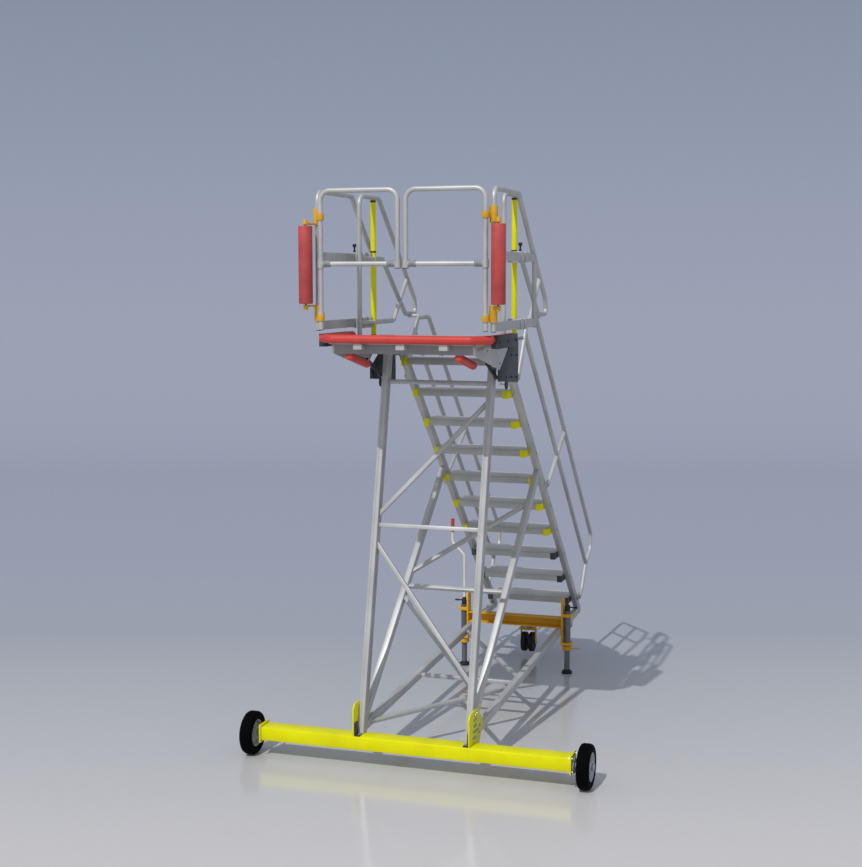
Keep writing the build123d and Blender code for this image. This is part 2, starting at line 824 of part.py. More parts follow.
# Caster under a cross member at the stair's foot
cross_top = chord_z(cross_y - cross_size / 2) - chord_depth / 2 * hypot(1, chord_slope)
cross_half = outer_face - cross_inset
cross_member = block(
    (-cross_half, cross_half),
    (cross_y - cross_size / 2, cross_y + cross_size / 2),
    (cross_top - cross_size, cross_top - seat_gap),
)
cross_low = cross_top - cross_size
save("rear_cross_member", cross_member)
plate_low = cross_low - caster_plate_thickness
race_low = plate_low - race_height
crown_high = race_low - swivel_gap
crown_low = crown_high - crown_thickness
caster_plate = block(
    (-caster_plate_size / 2, caster_plate_size / 2),
    (cross_y - caster_plate_size / 2, cross_y + caster_plate_size / 2),
    (plate_low, cross_low),
)
caster_plate += upright(0, cross_y, race_low, plate_low, race_radius)
caster_plate += upright(0, cross_y, crown_low, race_low, king_pin_radius)
save("caster_plate", caster_plate)
caster_y = cross_y + caster_trail
wheels_half = caster_wheel_width + caster_wheel_gap / 2
leg_low = wheels_half + fork_leg_gap
fork = upright(0, cross_y, crown_low, crown_high, crown_radius)
leg_high = leg_low + fork_leg_thickness
fork_depth = (cross_y - fork_leg_depth / 2, caster_y + fork_leg_depth / 2)
fork += block((-leg_high, leg_high), fork_depth, (crown_low, crown_high))
leg_depth = (caster_y - fork_leg_depth / 2, caster_y + fork_leg_depth / 2)
fork_leg = block((leg_low, leg_high), leg_depth, (caster_axle_z, crown_high))
fork_leg += crosswise(leg_low, leg_high, caster_y, caster_axle_z, fork_leg_depth / 2)
fork += fork_leg + left(fork_leg)
fork += crosswise(-leg_low, leg_low, caster_y, caster_axle_z, caster_axle_radius)
fork -= upright(0, cross_y, crown_low, crown_high, king_pin_radius + running_clearance)
save("caster_fork", fork)
caster_bore = caster_axle_radius + running_clearance
half_gap = caster_wheel_gap / 2
groove = crosswise(-half_gap, half_gap, caster_y, caster_axle_z, caster_wheel_radius)
groove -= crosswise(-half_gap, half_gap, caster_y, caster_axle_z, caster_hub_radius)
caster_wheels = crosswise(-wheels_half, wheels_half, caster_y, caster_axle_z, caster_wheel_radius)
caster_wheels -= groove
caster_wheels -= crosswise(-wheels_half, wheels_half, caster_y, caster_axle_z, caster_bore)
save("caster_wheels", caster_wheels)

# Cream lever with a red grip on the left jack's head
lever_foot = housing_high + jack_head_height
lever_path = [(-jack_x, jack_y, lever_foot)] + [(-jack_x + dx, jack_y, z) for dx, z in lever_points]
save("jack_lever", tube(lever_path, lever_radius, [lever_bend, lever_bend]))
grip_x, grip_y, grip_low = lever_path[-1]
save("lever_grip", upright(grip_x, grip_y, grip_low, grip_low + grip_length, grip_radius))
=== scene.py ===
import math

import bmesh
import bpy
from mathutils import Matrix, Vector


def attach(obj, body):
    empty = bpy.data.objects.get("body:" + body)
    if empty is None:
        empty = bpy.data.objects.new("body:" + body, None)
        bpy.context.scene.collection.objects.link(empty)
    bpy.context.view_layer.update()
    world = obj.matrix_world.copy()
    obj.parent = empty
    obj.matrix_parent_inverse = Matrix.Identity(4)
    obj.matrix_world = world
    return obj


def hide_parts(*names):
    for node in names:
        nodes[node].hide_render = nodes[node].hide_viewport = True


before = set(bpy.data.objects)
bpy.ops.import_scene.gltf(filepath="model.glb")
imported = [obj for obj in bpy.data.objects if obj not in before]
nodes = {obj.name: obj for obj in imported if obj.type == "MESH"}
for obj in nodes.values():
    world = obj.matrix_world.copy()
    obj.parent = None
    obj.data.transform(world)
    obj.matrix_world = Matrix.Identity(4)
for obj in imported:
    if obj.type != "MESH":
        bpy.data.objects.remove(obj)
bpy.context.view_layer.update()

# Y of the front axle in the row frame: measured places below are counted from it
AXLE_Y = -1.79475

# Measured places in metres: X from the middle, Y from the front axle, Z from the floor
WHEEL_X = 1.225
POST_X, POST_FOOT_Y, POST_FOOT_Z, POST_TOP_Z = 0.395, 0.038, 0.222, 2.9
POST_LEAN = 0.2198
FIRST_TREAD_Y, FIRST_TREAD_Z = 0.8534, 2.7842
GOING, RISE, TREADS = 0.2655, 0.2519, 10
TREAD_HALF, TREAD_DEPTH = 0.3675, 0.3
DECK_TOP, DECK_FRONT, DECK_REAR = 3.0, -0.2, 0.9
DECK_HALF, DECK_CUT = 0.55, 0.058
GUARD_X, INNER_GUARD_X, HANDRAIL_X = 0.615, 0.53, 0.4385
GATE_X, GATE_INNER_X, GATE_Y, GATE_MID_Z = 0.575, 0.028, -0.215, 3.515
ROLLER_X, ROLLER_Y, ROLLER_FOOT_Z = 0.67, -0.25, 3.248
REAR_BEAM_HALF = 0.4175
JACK_X, JACK_Y = 0.465, 2.8
CASTER_Y, CASTER_Z = 3.28, 0.132
SIDES = ((1, "right"), (-1, "left"))
OUT, IN, UP, DOWN = (1, 0, 0), (-1, 0, 0), (0, 0, 1), (0, 0, -1)


def at(x, y, z):
    """A point in the row frame from one counted from the front axle, in metres."""
    return Vector((x, y + AXLE_Y, z))


# Materials


def principled(name, colour, rough, metal=0.0):
    """A material with its shader; returns the material, the node tree and the shader."""
    m = bpy.data.materials.new(name)
    m.use_nodes = True
    tree = m.node_tree
    shader = tree.nodes["Principled BSDF"]
    shader.inputs["Base Color"].default_value = (*colour, 1)
    shader.inputs["Roughness"].default_value = rough
    shader.inputs["Metallic"].default_value = metal
    return m, tree, shader


def add(tree, kind, **values):
    """A node with its socket values."""
    node = tree.nodes.new(kind)
    for socket, value in values.items():
        node.inputs[socket].default_value = value
    return node


def noise(tree, scale, detail=4.0, stretch=(1, 1, 1)):
    """Object-space noise, stretched along an axis for brushed or drawn metal."""
    coords = add(tree, "ShaderNodeTexCoord")
    mapping = add(tree, "ShaderNodeMapping")
    mapping.inputs["Scale"].default_value = stretch
    tree.links.new(coords.outputs["Object"], mapping.inputs["Vector"])
    node = add(tree, "ShaderNodeTexNoise", Scale=scale, Detail=detail)
    tree.links.new(mapping.outputs["Vector"], node.inputs["Vector"])
    return node


def vary(tree, shader, factor, dark, light):
    """Base colour between two shades by a factor."""
    ramp = add(tree, "ShaderNodeValToRGB")
    ramp.color_ramp.elements[0].position = 0.32
    ramp.color_ramp.elements[0].color = (*dark, 1)
    ramp.color_ramp.elements[1].position = 0.68
    ramp.color_ramp.elements[1].color = (*light, 1)
    tree.links.new(factor, ramp.inputs["Fac"])
    tree.links.new(ramp.outputs["Color"], shader.inputs["Base Color"])


def rough_range(tree, shader, factor, low, high):
    """Roughness between two values by a factor."""
    node = add(tree, "ShaderNodeMapRange")
    node.inputs["To Min"].default_value = low
    node.inputs["To Max"].default_value = high
    tree.links.new(factor, node.inputs["Value"])
    tree.links.new(node.outputs["Result"], shader.inputs["Roughness"])


def ramp_along(tree, output, low, high, stops):
    """A colour ramp over one coordinate, from (position, colour) stops between low and high."""
    span = add(tree, "ShaderNodeMapRange")
    span.inputs["From Min"].default_value = low
    span.inputs["From Max"].default_value = high
    tree.links.new(output, span.inputs["Value"])
    ramp = add(tree, "ShaderNodeValToRGB")
    while len(ramp.color_ramp.elements) < len(stops):
        ramp.color_ramp.elements.new(0.5)
    for element, (place, colour) in zip(ramp.color_ramp.elements, stops):
        element.position = place
        element.color = (*colour, 1)
    tree.links.new(span.outputs["Result"], ramp.inputs["Fac"])
    return ramp.outputs["Color"]


def bump(tree, shader, height, strength, distance):
    """Surface relief from a height."""
    node = add(tree, "ShaderNodeBump", Strength=strength, Distance=distance)
    tree.links.new(height, node.inputs["Height"])
    tree.links.new(node.outputs["Normal"], shader.inputs["Normal"])


def shade(colour, share):
    """A colour made darker or lighter by a share."""
    return tuple(min(1.0, channel * share) for channel in colour)


def mill_metal(name, colour, rough, metal, stretch):
    """Mill-finish metal with drawn lines along its length and soft clouding."""
    m, tree, shader = principled(name, colour, rough, metal)
    lines = noise(tree, 60, 3, stretch)
    clouds = noise(tree, 3.5, 5)
    vary(tree, shader, clouds.outputs["Fac"], shade(colour, 0.86), shade(colour, 1.1))
    rough_range(tree, shader, lines.outputs["Fac"], rough - 0.08, rough + 0.12)
    bump(tree, shader, lines.outputs["Fac"], 0.12, 0.0006)
    return m


def paint(name, colour, rough, gloss=0.3, wear=0.9):
    """Sprayed paint with orange peel and uneven sheen."""
    m, tree, shader = principled(name, colour, rough)
    shader.inputs["Specular IOR Level"].default_value = gloss
    peel = noise(tree, 260, 2)
    clouds = noise(tree, 4, 5)
    vary(tree, shader, clouds.outputs["Fac"], shade(colour, wear), shade(colour, 1.06))
    rough_range(tree, shader, clouds.outputs["Fac"], rough - 0.06, rough + 0.1)
    bump(tree, shader, peel.outputs["Fac"], 0.06, 0.0006)
    return m


def moulded(name, colour, rough, grain, strength, gloss=0.4):
    """Rubber or plastic with a fine grain."""
    m, tree, shader = principled(name, colour, rough)
    shader.inputs["Specular IOR Level"].default_value = gloss
    fine = noise(tree, grain, 3)
    clouds = noise(tree, 7, 4)
    vary(tree, shader, clouds.outputs["Fac"], shade(colour, 0.8), shade(colour, 1.18))
    rough_range(tree, shader, clouds.outputs["Fac"], rough - 0.07, rough + 0.08)
    bump(tree, shader, fine.outputs["Fac"], strength, 0.001)
    return m


ALU = (0.50, 0.495, 0.485)
alu_x = mill_metal("aluminium_x", ALU, 0.45, 0.35, (0.05, 1, 1))
alu_y = mill_metal("aluminium_y", ALU, 0.45, 0.35, (1, 0.05, 0.05))
alu_z = mill_metal("aluminium_z", ALU, 0.45, 0.35, (1, 1, 0.05))
# Darker aluminium for the deck's front face only: painted shade for the bumper's shadow, not a different
# finish
fascia_shade_alu = mill_metal("fascia_painted_shade_aluminium", (0.26, 0.265, 0.27), 0.55, 0.3, (0.05, 1, 1))
mesh_alu = mill_metal("mesh_aluminium", (0.66, 0.65, 0.63), 0.5, 0.3, (1, 1, 1))
tread_alu = mill_metal("tread_aluminium", (0.50, 0.49, 0.47), 0.55, 0.35, (0.05, 1, 1))
yellow = paint("yellow_paint", (0.76, 0.73, 0.0), 0.42, 0.18)
orange = paint("orange_paint", (0.68, 0.36, 0.015), 0.42)
red = paint("red_paint", (0.58, 0.055, 0.045), 0.42)
dark = paint("dark_paint", (0.045, 0.045, 0.05), 0.45)
grey = paint("grey_paint", (0.30, 0.34, 0.42), 0.45)
clamp_grey = paint("clamp_grey", (0.24, 0.26, 0.26), 0.5)
cream = paint("cream_paint", (0.72, 0.69, 0.58), 0.4)
black_gloss = paint("black_paint", (0.008, 0.008, 0.009), 0.3)
red_rubber = moulded("red_rubber", (0.44, 0.06, 0.055), 0.55, 320, 0.2)
black_plastic = moulded("black_plastic", (0.012, 0.012, 0.013), 0.5, 400, 0.15)
black_rubber = moulded("black_rubber", (0.009, 0.009, 0.009), 0.62, 300, 0.25)
tyre_rubber = moulded("tyre_rubber", (0.001, 0.001, 0.001), 0.8, 240, 0.3, 0.06)
grip_alu = mill_metal("grip_aluminium", (0.66, 0.63, 0.60), 0.5, 0.35, (1, 1, 1))
jack_steel = mill_metal("jack_steel", (0.16, 0.165, 0.175), 0.4, 0.6, (1, 1, 0.05))
hub_alu = mill_metal("hub_casting", (0.50, 0.52, 0.55), 0.5, 0.4, (1, 1, 1))
steel = mill_metal("zinc_steel", (0.42, 0.43, 0.45), 0.32, 0.85, (1, 1, 1))
chrome = mill_metal("chrome_rod", (0.85, 0.85, 0.86), 0.2, 0.5, (1, 1, 1))
weld = moulded("weld_bead", (0.42, 0.41, 0.39), 0.5, 900, 0.4)

# Columns: material, the nodes that take it
LOOKS = (
    (yellow, ("axle_beam", "axle_end_plates", "gusset_plates", "tread_brackets_upper", "grab_tubes")),
    (grey, ("stub_axles", "rim_left", "rim_right")),
    (tyre_rubber, ("tyre_left", "tyre_right")),
    (alu_x, ("bracing", "deck_frame", "deck_beams", "rear_cross_member")),
    (alu_y, ("stringers", "leaning_post_left", "leaning_post_right", "bottom_chord_left")),
    (alu_y, ("bottom_chord_right", "guard_guides", "handrail_left", "handrail_right")),
    (alu_z, ("front_post_left", "front_post_right", "inner_guard_left", "inner_guard_right")),
    (alu_z, ("side_guard_left", "side_guard_right", "gate_left", "gate_right")),
    (tread_alu, ("treads",)),
    (mesh_alu, ("deck_panel",)),
    (dark, ("foot_brackets", "tread_brackets_lower", "side_plates", "bumper_ends")),
    (red, ("bumper", "under_pads")),
    (red_rubber, ("roller_left", "roller_right", "lever_grip")),
    (orange, ("roller_brackets_left", "roller_brackets_right", "rear_beam")),
    (orange, ("jack_brackets", "jack_rings", "caster_fork")),
    (black_gloss, ("gas_spring_bodies",)),
    (chrome, ("gas_spring_rods",)),
    (black_plastic, ("plungers", "jack_heads")),
    (black_rubber, ("caster_wheels", "jack_foot_left", "jack_foot_right")),
    (steel, ("jack_housings", "caster_plate", "jack_leg_left", "jack_leg_right")),
    (cream, ("jack_lever",)),
)
for material, names in LOOKS:
    for name in names:
        if not nodes[name].material_slots:
            nodes[name].data.materials.append(material)
        for slot in nodes[name].material_slots:
            slot.material = material

# Helpers for the pieces that are added to the CAD nodes


def piece(name, bm, material, body, smooth=35):
    """A mesh object that rides on a body and takes a material."""
    mesh = bpy.data.meshes.new(name)
    bm.to_mesh(mesh)
    bm.free()
    mesh.materials.append(material)
    if smooth:
        mesh.shade_smooth()
        mesh.set_sharp_from_angle(angle=math.radians(smooth))
    made = bpy.data.objects.new(name, mesh)
    bpy.context.scene.collection.objects.link(made)
    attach(made, body)
    return made


def frame_at(place, axis):
    """A matrix at a place whose Z runs along an axis."""
    turn = Vector(axis).to_track_quat("Z", "Y").to_matrix().to_4x4()
    return Matrix.Translation(place) @ turn


def lathe(bm, place, axis, profile, segments=48):
    """A turned form: (radius, height) points about an axis through a place."""
    matrix = frame_at(place, axis)
    rings = []
    for radius, height in profile:
        if radius < 1e-6:
            rings.append([bm.verts.new(matrix @ Vector((0, 0, height)))])
            continue
        ring = []
        for i in range(segments):
            a = 2 * math.pi * i / segments
            ring.append(bm.verts.new(matrix @ Vector((radius * math.cos(a), radius * math.sin(a), height))))
        rings.append(ring)
    for low, high in zip(rings, rings[1:]):
        for i in range(segments):
            j = (i + 1) % segments
            if len(low) == 1:
                bm.faces.new((low[0], high[j], high[i]))
            elif len(high) == 1:
                bm.faces.new((low[i], low[j], high[0]))
            else:
                bm.faces.new((low[i], low[j], high[j], high[i]))


def extrusion(bm, outline, x_low, x_high):
    """A closed (y, z) outline run along X, with end faces."""
    low = [bm.verts.new((x_low, y, z)) for y, z in outline]
    high = [bm.verts.new((x_high, y, z)) for y, z in outline]
    for i in range(len(outline)):
        j = (i + 1) % len(outline)
        bm.faces.new((low[i], low[j], high[j], high[i]))
    bm.faces.new(low[::-1])
    bm.faces.new(high)


def bar(bm, start, end, width, height, chamfer=0.0):
    """A straight bar between two points, with chamfered long edges."""
    start, end = Vector(start), Vector(end)
    matrix = frame_at(start, end - start)
    length = (end - start).length
    w, h, c = width / 2, height / 2, chamfer
    section = [(w, h), (-w, h), (-w, -h), (w, -h)]
    if chamfer:
        section = [(w, h - c), (w - c, h), (c - w, h), (-w, h - c),
                   (-w, c - h), (c - w, -h), (w - c, -h), (w, c - h)]
    low = [bm.verts.new(matrix @ Vector((x, y, 0))) for x, y in section]
    high = [bm.verts.new(matrix @ Vector((x, y, length))) for x, y in section]
    for i in range(len(section)):
        j = (i + 1) % len(section)
        bm.faces.new((low[i], low[j], high[j], high[i]))
    bm.faces.new(low[::-1])
    bm.faces.new(high)


def bolt(bm, place, axis, size=0.006, washer=True):
    """A hex head with a chamfered top on a round washer."""
    washer_profile = ((0, 0), (2.0, 0), (2.0, 0.25), (0.6, 0.3))
    head_profile = ((1.15, 0.3), (1.15, 1.1), (0.95, 1.3), (0, 1.3))
    if washer:
        lathe(bm, place, axis, [(size * r, size * h) for r, h in washer_profile], 16)
    lathe(bm, place, axis, [(size * r, size * h) for r, h in head_profile], 6)


def sleeve(bm, place, axis, low, high, radii, edge):
    """A short sleeve on a tube between two heights, with the radii of its bore, ends and middle."""
    bore, end, middle = radii
    profile = ((bore, low), (end, low), (middle, low + edge),
               (middle, high - edge), (end, high), (bore, high))
    lathe(bm, place, axis, profile, 28)


def weld_ring(bm, place, axis, radius, bead=0.0035):
    """A weld bead round a tube's end, with the ripples of its passes."""
    matrix = frame_at(place, axis)
    count, around = 36, 6
    rings = []
    for i in range(count):
        a = 2 * math.pi * i / count
        ripple = bead * (1 + 0.22 * math.cos(i * math.pi))
        ring = []
        for k in range(around):
            b = 2 * math.pi * k / around
            out = radius + ripple * math.cos(b)
            point = Vector((out * math.cos(a), out * math.sin(a), ripple * math.sin(b)))
            ring.append(bm.verts.new(matrix @ point))
        rings.append(ring)
    for i in range(count):
        ring, after = rings[i], rings[(i + 1) % count]
        for k in range(around):
            m = (k + 1) % around
            bm.faces.new((ring[k], after[k], after[m], ring[m]))


def softened(name, material, width, body="frame"):
    """A node's own form with rounded edges, in place of the sharp one."""
    bm = bmesh.new()
    bm.from_mesh(nodes[name].data)
    bmesh.ops.remove_doubles(bm, verts=bm.verts, dist=1e-5)
    bmesh.ops.dissolve_limit(bm, angle_limit=math.radians(1), verts=bm.verts, edges=bm.edges)
    edges = [e for e in bm.edges if len(e.link_faces) == 2 and e.calc_face_angle() > math.radians(40)]
    bmesh.ops.bevel(bm, geom=edges, offset=width, segments=2, profile=0.5, affect="EDGES",
                    clamp_overlap=True)
    made = piece(name + "_rounded", bm, material, body, 40)
    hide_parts(name)


# Treads: a folded plank with rows of raised grip holes and a folded nosing
GRIP_PITCH, GRIP_ROWS = 0.031, 9
GRIP_HOLE = ((0.0125, 0.0), (0.0085, 0.0022), (0.0065, 0.0024), (0.005, 0.001), (0.0, 0.0006))
outside = [(0.018, 0.0), (0.0, 0.0), (0.0, 0.0445), (0.0012, 0.0468), (0.004, 0.0478)]
inside = [(0.018, 0.003), (0.003, 0.003), (0.003, 0.0448)]
plank = outside + [(TREAD_DEPTH - y, z) for y, z in outside[::-1]]
plank += [(TREAD_DEPTH - y, z) for y, z in inside] + inside[::-1]
bm = bmesh.new()
grip = bmesh.new()
for step in range(TREADS):
    y0 = FIRST_TREAD_Y + AXLE_Y + GOING * step
    z0 = FIRST_TREAD_Z - RISE * step
    extrusion(bm, [(y0 + y, z0 + z) for y, z in plank], -TREAD_HALF, TREAD_HALF)
    for row in range(GRIP_ROWS):
        y = y0 + 0.026 + row * GRIP_PITCH
        shift = GRIP_PITCH / 2 if row % 2 else 0.0
        x = -TREAD_HALF + 0.022 + shift
        while x < TREAD_HALF - 0.018:
            lathe(grip, (x, y, z0 + 0.0476), UP, GRIP_HOLE, 8)
            x += GRIP_PITCH
made = piece("tread_planks", bm, tread_alu, "frame")
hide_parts("treads")
piece("tread_grip_holes", grip, grip_alu, "frame", 60)

# Deck: a rim with flat bars and a closed sheet, under an expanded mesh
RIM = 0.025
DECK_INNER = DECK_HALF - DECK_CUT
rim_z = DECK_TOP - RIM / 2
flat_z = rim_z - 0.003
border = [(-DECK_HALF, DECK_REAR), (-DECK_HALF, DECK_FRONT + DECK_CUT), (-DECK_INNER, DECK_FRONT),
          (DECK_INNER, DECK_FRONT), (DECK_HALF, DECK_FRONT + DECK_CUT), (DECK_HALF, DECK_REAR)]


def on_rim(x, y):
    """A point of the deck's border, moved in to the middle line of the rim."""
    x_limit = DECK_HALF - RIM / 2
    y_inside = max(DECK_FRONT + RIM / 2, min(DECK_REAR - RIM / 2, y))
    return at(max(-x_limit, min(x_limit, x)), y_inside, rim_z)


bm = bmesh.new()
for start, end in zip(border, border[1:] + border[:1]):
    bar(bm, on_rim(*start), on_rim(*end), RIM, RIM, 0.002)
for x in (-0.36, -0.18, 0.0, 0.18, 0.36):
    bar(bm, at(x, DECK_FRONT + 0.02, flat_z), at(x, DECK_REAR - 0.02, flat_z), 0.006, 0.018)
for y in (0.02, 0.24, 0.46, 0.68):
    bar(bm, at(-DECK_HALF + 0.02, y, flat_z), at(DECK_HALF - 0.02, y, flat_z), 0.018, 0.006)
# Columns: left side, right side and front edge of each part of the sheet
for x_low, x_high, y_front in (
    (-DECK_INNER, DECK_INNER, DECK_FRONT),
    (-DECK_HALF, -DECK_INNER, DECK_FRONT + DECK_CUT),
    (DECK_INNER, DECK_HALF, DECK_FRONT + DECK_CUT),
):
    x_mid = 0.5 * (x_low + x_high)
    bar(bm, at(x_mid, y_front + 0.01, rim_z), at(x_mid, DECK_REAR - 0.01, rim_z), x_high - x_low, 0.004)
made = piece("deck_rim_and_flats", bm, alu_x, "frame")
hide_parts("deck_panel")
STRAND_X, STRAND_Y, STRAND_ROWS, STRAND_MARGIN = 0.0275, 0.021, 51, 0.02
strand_z = DECK_TOP - 0.003
strands = bmesh.new()
for row in range(STRAND_ROWS):
    y = DECK_FRONT + STRAND_MARGIN + row * STRAND_Y
    points = []
    for i in range(int(2 * (DECK_HALF - STRAND_MARGIN) / STRAND_X) + 1):
        x = -DECK_HALF + STRAND_MARGIN + i * STRAND_X
        swing = 0.5 if (i + row) % 2 else -0.5
        points.append((x, min(DECK_REAR - 0.01, y + swing * (STRAND_Y - 0.004))))
    for (xa, ya), (xb, yb) in zip(points, points[1:]):
        if abs(xa) - DECK_INNER <= ya - DECK_FRONT - 0.01:
            bar(strands, at(xa, ya, strand_z), at(xb, yb, strand_z), 0.0045, 0.005)
piece("deck_expanded_mesh", strands, mesh_alu, "frame", 0)

# Front wheels: tyre with rounded shoulders and fine rings, and a pressed disc with wheel bolts
TYRE = 0.155
WHEEL_BOLTS, BOLT_CIRCLE = 5, 0.064
tyre_half = [(0.096, -0.034), (0.101, -0.042), (0.118, -0.0446), (0.1185, -0.0436), (0.121, -0.0436),
             (0.1215, -0.0446), (0.138, -0.0425), (0.148, -0.036), (0.1535, -0.027), (TYRE, -0.018),
             (TYRE, -0.0125), (0.1525, -0.0115), (0.1525, -0.0085), (TYRE, -0.0075)]
tyre_profile = tyre_half + [(radius, -height) for radius, height in tyre_half[::-1]]
DISC_FACE = (
    (0.096, -0.034), (0.0985, 0.033), (0.0995, 0.0375), (0.097, 0.0395), (0.0925, 0.038), (0.09, 0.03),
    (0.085, 0.016), (0.076, 0.0095), (0.058, 0.0085), (0.05, 0.011), (0.041, 0.02), (0.0405, 0.038),
    (0.038, 0.0418), (0.0205, 0.042), (0.0202, 0.0),
)
DISC_BACK = (
    (0.0202, 0.0), (0.0202, -0.042), (0.038, -0.042), (0.04, -0.04), (0.04, -0.012), (0.082, -0.0085),
    (0.09, -0.033), (0.096, -0.034),
)
for side, word in SIDES:
    hub = at(WHEEL_X * side, 0, TYRE)
    out = (side, 0, 0)
    bm = bmesh.new()
    lathe(bm, hub, OUT, tyre_profile, 54)
    made = piece("tyre_detail_" + word, bm, tyre_rubber, "wheel_" + word, 30)
    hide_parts("tyre_" + word)
    bm = bmesh.new()
    lathe(bm, hub, out, DISC_FACE, 54)
    lathe(bm, hub, out, DISC_BACK, 54)
    made = piece("rim_detail_" + word, bm, hub_alu, "wheel_" + word, 30)
    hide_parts("rim_" + word)
    bm = bmesh.new()
    for i in range(WHEEL_BOLTS):
        a = 2 * math.pi * i / WHEEL_BOLTS + 0.3
        offset = Vector((0.0085 * side, BOLT_CIRCLE * math.cos(a), BOLT_CIRCLE * math.sin(a)))
        bolt(bm, hub + offset, out, 0.008)
    piece("wheel_bolts_" + word, bm, steel, "wheel_" + word)

# Bumper rollers: a long sleeve with rounded ends and dark bearing plugs
PLUG_BORE, PLUG_RADIUS = 0.0082, 0.0298
ROLLER_SLEEVE = (
    (0.030, 0.0), (0.0415, 0.0), (0.0455, 0.0018), (0.0475, 0.006), (0.0475, 0.514), (0.0455, 0.5182),
    (0.0415, 0.52), (0.030, 0.52), (0.030, 0.0),
)
for side, word in SIDES:
    foot = at(ROLLER_X * side, ROLLER_Y, ROLLER_FOOT_Z)
    bm = bmesh.new()
    lathe(bm, foot, UP, ROLLER_SLEEVE, 40)
    made = piece("roller_sleeve_" + word, bm, red_rubber, "roller_" + word, 50)
    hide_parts("roller_" + word)
    bm = bmesh.new()
    for low, high in ((0.001, 0.03), (0.49, 0.519)):
        plug = ((PLUG_BORE, low), (PLUG_RADIUS, low), (PLUG_RADIUS, high), (PLUG_BORE, high),
                (PLUG_BORE, low))
        lathe(bm, foot, UP, plug, 32)
    piece("roller_plugs_" + word, bm, black_plastic, "roller_" + word, 40)

# Bolts and nuts on the right side, with twins on the left. Columns: x, y, z, direction, size
GUSSET_X, PLATE_X, CHEEK_X, END_BLOCK_X, STRINGER_X = 0.4275, 0.482, 0.502, 0.635, 0.4175
light_bolts = []
for z in (0.262, 0.302, 0.342, 0.382, 0.420):
    lean = POST_LEAN * (z - POST_FOOT_Z)
    light_bolts += [(GUSSET_X, y + lean, z, OUT, 0.0065) for y in (0.022, 0.062)]
light_bolts += [(GUSSET_X, y, z, OUT, 0.0065) for y, z in ((0.128, 0.300), (0.170, 0.268), (0.185, 0.315))]
for y in (-0.062, 0.062):
    for z in (0.128, 0.221):
        light_bolts += [(1.140, y, z, OUT, 0.0055), (1.128, y, z, IN, 0.0055)]
cheek_places = ((-0.12, 2.945), (0.09, 2.93), (0.30, 2.945), (0.58, 2.945), (0.41, 2.83))
light_bolts += [(CHEEK_X, y, z, OUT, 0.005) for y, z in cheek_places]
for step in range(TREADS):
    y_mid = FIRST_TREAD_Y + 0.5 * TREAD_DEPTH + GOING * step
    z_mid = FIRST_TREAD_Z + 0.02 - RISE * step
    light_bolts += [(STRINGER_X, y_mid + dy, z_mid - 0.33 * dy, OUT, 0.0045) for dy in (-0.035, 0.035)]
light_bolts.append((0.390, -0.035, 0.230, UP, 0.006))
light_bolts += [(0.4325, y, z, OUT, 0.005) for z in (0.60, 0.64) for y in (2.775, 2.825)]
light_bolts += [(0.038, y, 0.2982, DOWN, 0.0045) for y in (3.192, 3.268)]
plate_places = ((0.50, 2.73), (0.66, 2.72), (0.80, 2.71), (0.96, 2.70), (0.80, 2.87), (0.96, 2.86))
dark_bolts = [(PLATE_X, y, z, OUT, 0.006) for y, z in plate_places]
dark_bolts += [(END_BLOCK_X, y, 2.998, OUT, 0.006) for y in (-0.07, 0.14, 0.35)]
for name, rows, material in (("frame_bolts", light_bolts, steel), ("plate_bolts", dark_bolts, dark)):
    bm = bmesh.new()
    for x, y, z, (outwards, backwards, upwards), size in rows:
        for side, _ in SIDES:
            bolt(bm, at(x * side, y, z), (outwards * side, backwards, upwards), size)
    piece(name, bm, material, "frame")

# Weld beads where tubes meet. Columns: x, y, z, axis, radius, bead
WELD_RADIUS, BEAD = 0.0172, 0.0035
FRAME_WELDS = (
    (INNER_GUARD_X, 0.4, 3.0015, UP, 0.0182, 0.004),
    (INNER_GUARD_X, 0.418, 3.1, (0, 1, 0), WELD_RADIUS, BEAD),
    (INNER_GUARD_X, 0.418, 3.56, (0, 1, 0), WELD_RADIUS, BEAD),
    (INNER_GUARD_X, 1.424, 3.408, (0, 0.69, 0.72), WELD_RADIUS, BEAD),
    (HANDRAIL_X, 1.3715, 2.989, (0, 1, -0.949), WELD_RADIUS, BEAD),
    (HANDRAIL_X, 3.64, 0.835, (0, 1, -0.949), WELD_RADIUS, BEAD),
    (HANDRAIL_X, 2.731, 2.114, (0, 0.85, 0.52), WELD_RADIUS, BEAD),
    (0.5135, 1.46, 3.129, OUT, 0.0142, BEAD),
    (0.4552, 1.46, 3.129, OUT, 0.0142, BEAD),
)
bm = bmesh.new()
for side, _ in SIDES:
    for x, y, z, axis, radius, bead in FRAME_WELDS:
        weld_ring(bm, at(x * side, y, z), axis, radius, bead)
piece("frame_welds", bm, weld, "frame", 80)
for side, word in SIDES:
    bm = bmesh.new()
    for x in (0.552, 0.0512):
        weld_ring(bm, at(x * side, GATE_Y, GATE_MID_Z), OUT, WELD_RADIUS, BEAD)
    piece("gate_welds_" + word, bm, weld, "gate_" + word, 80)

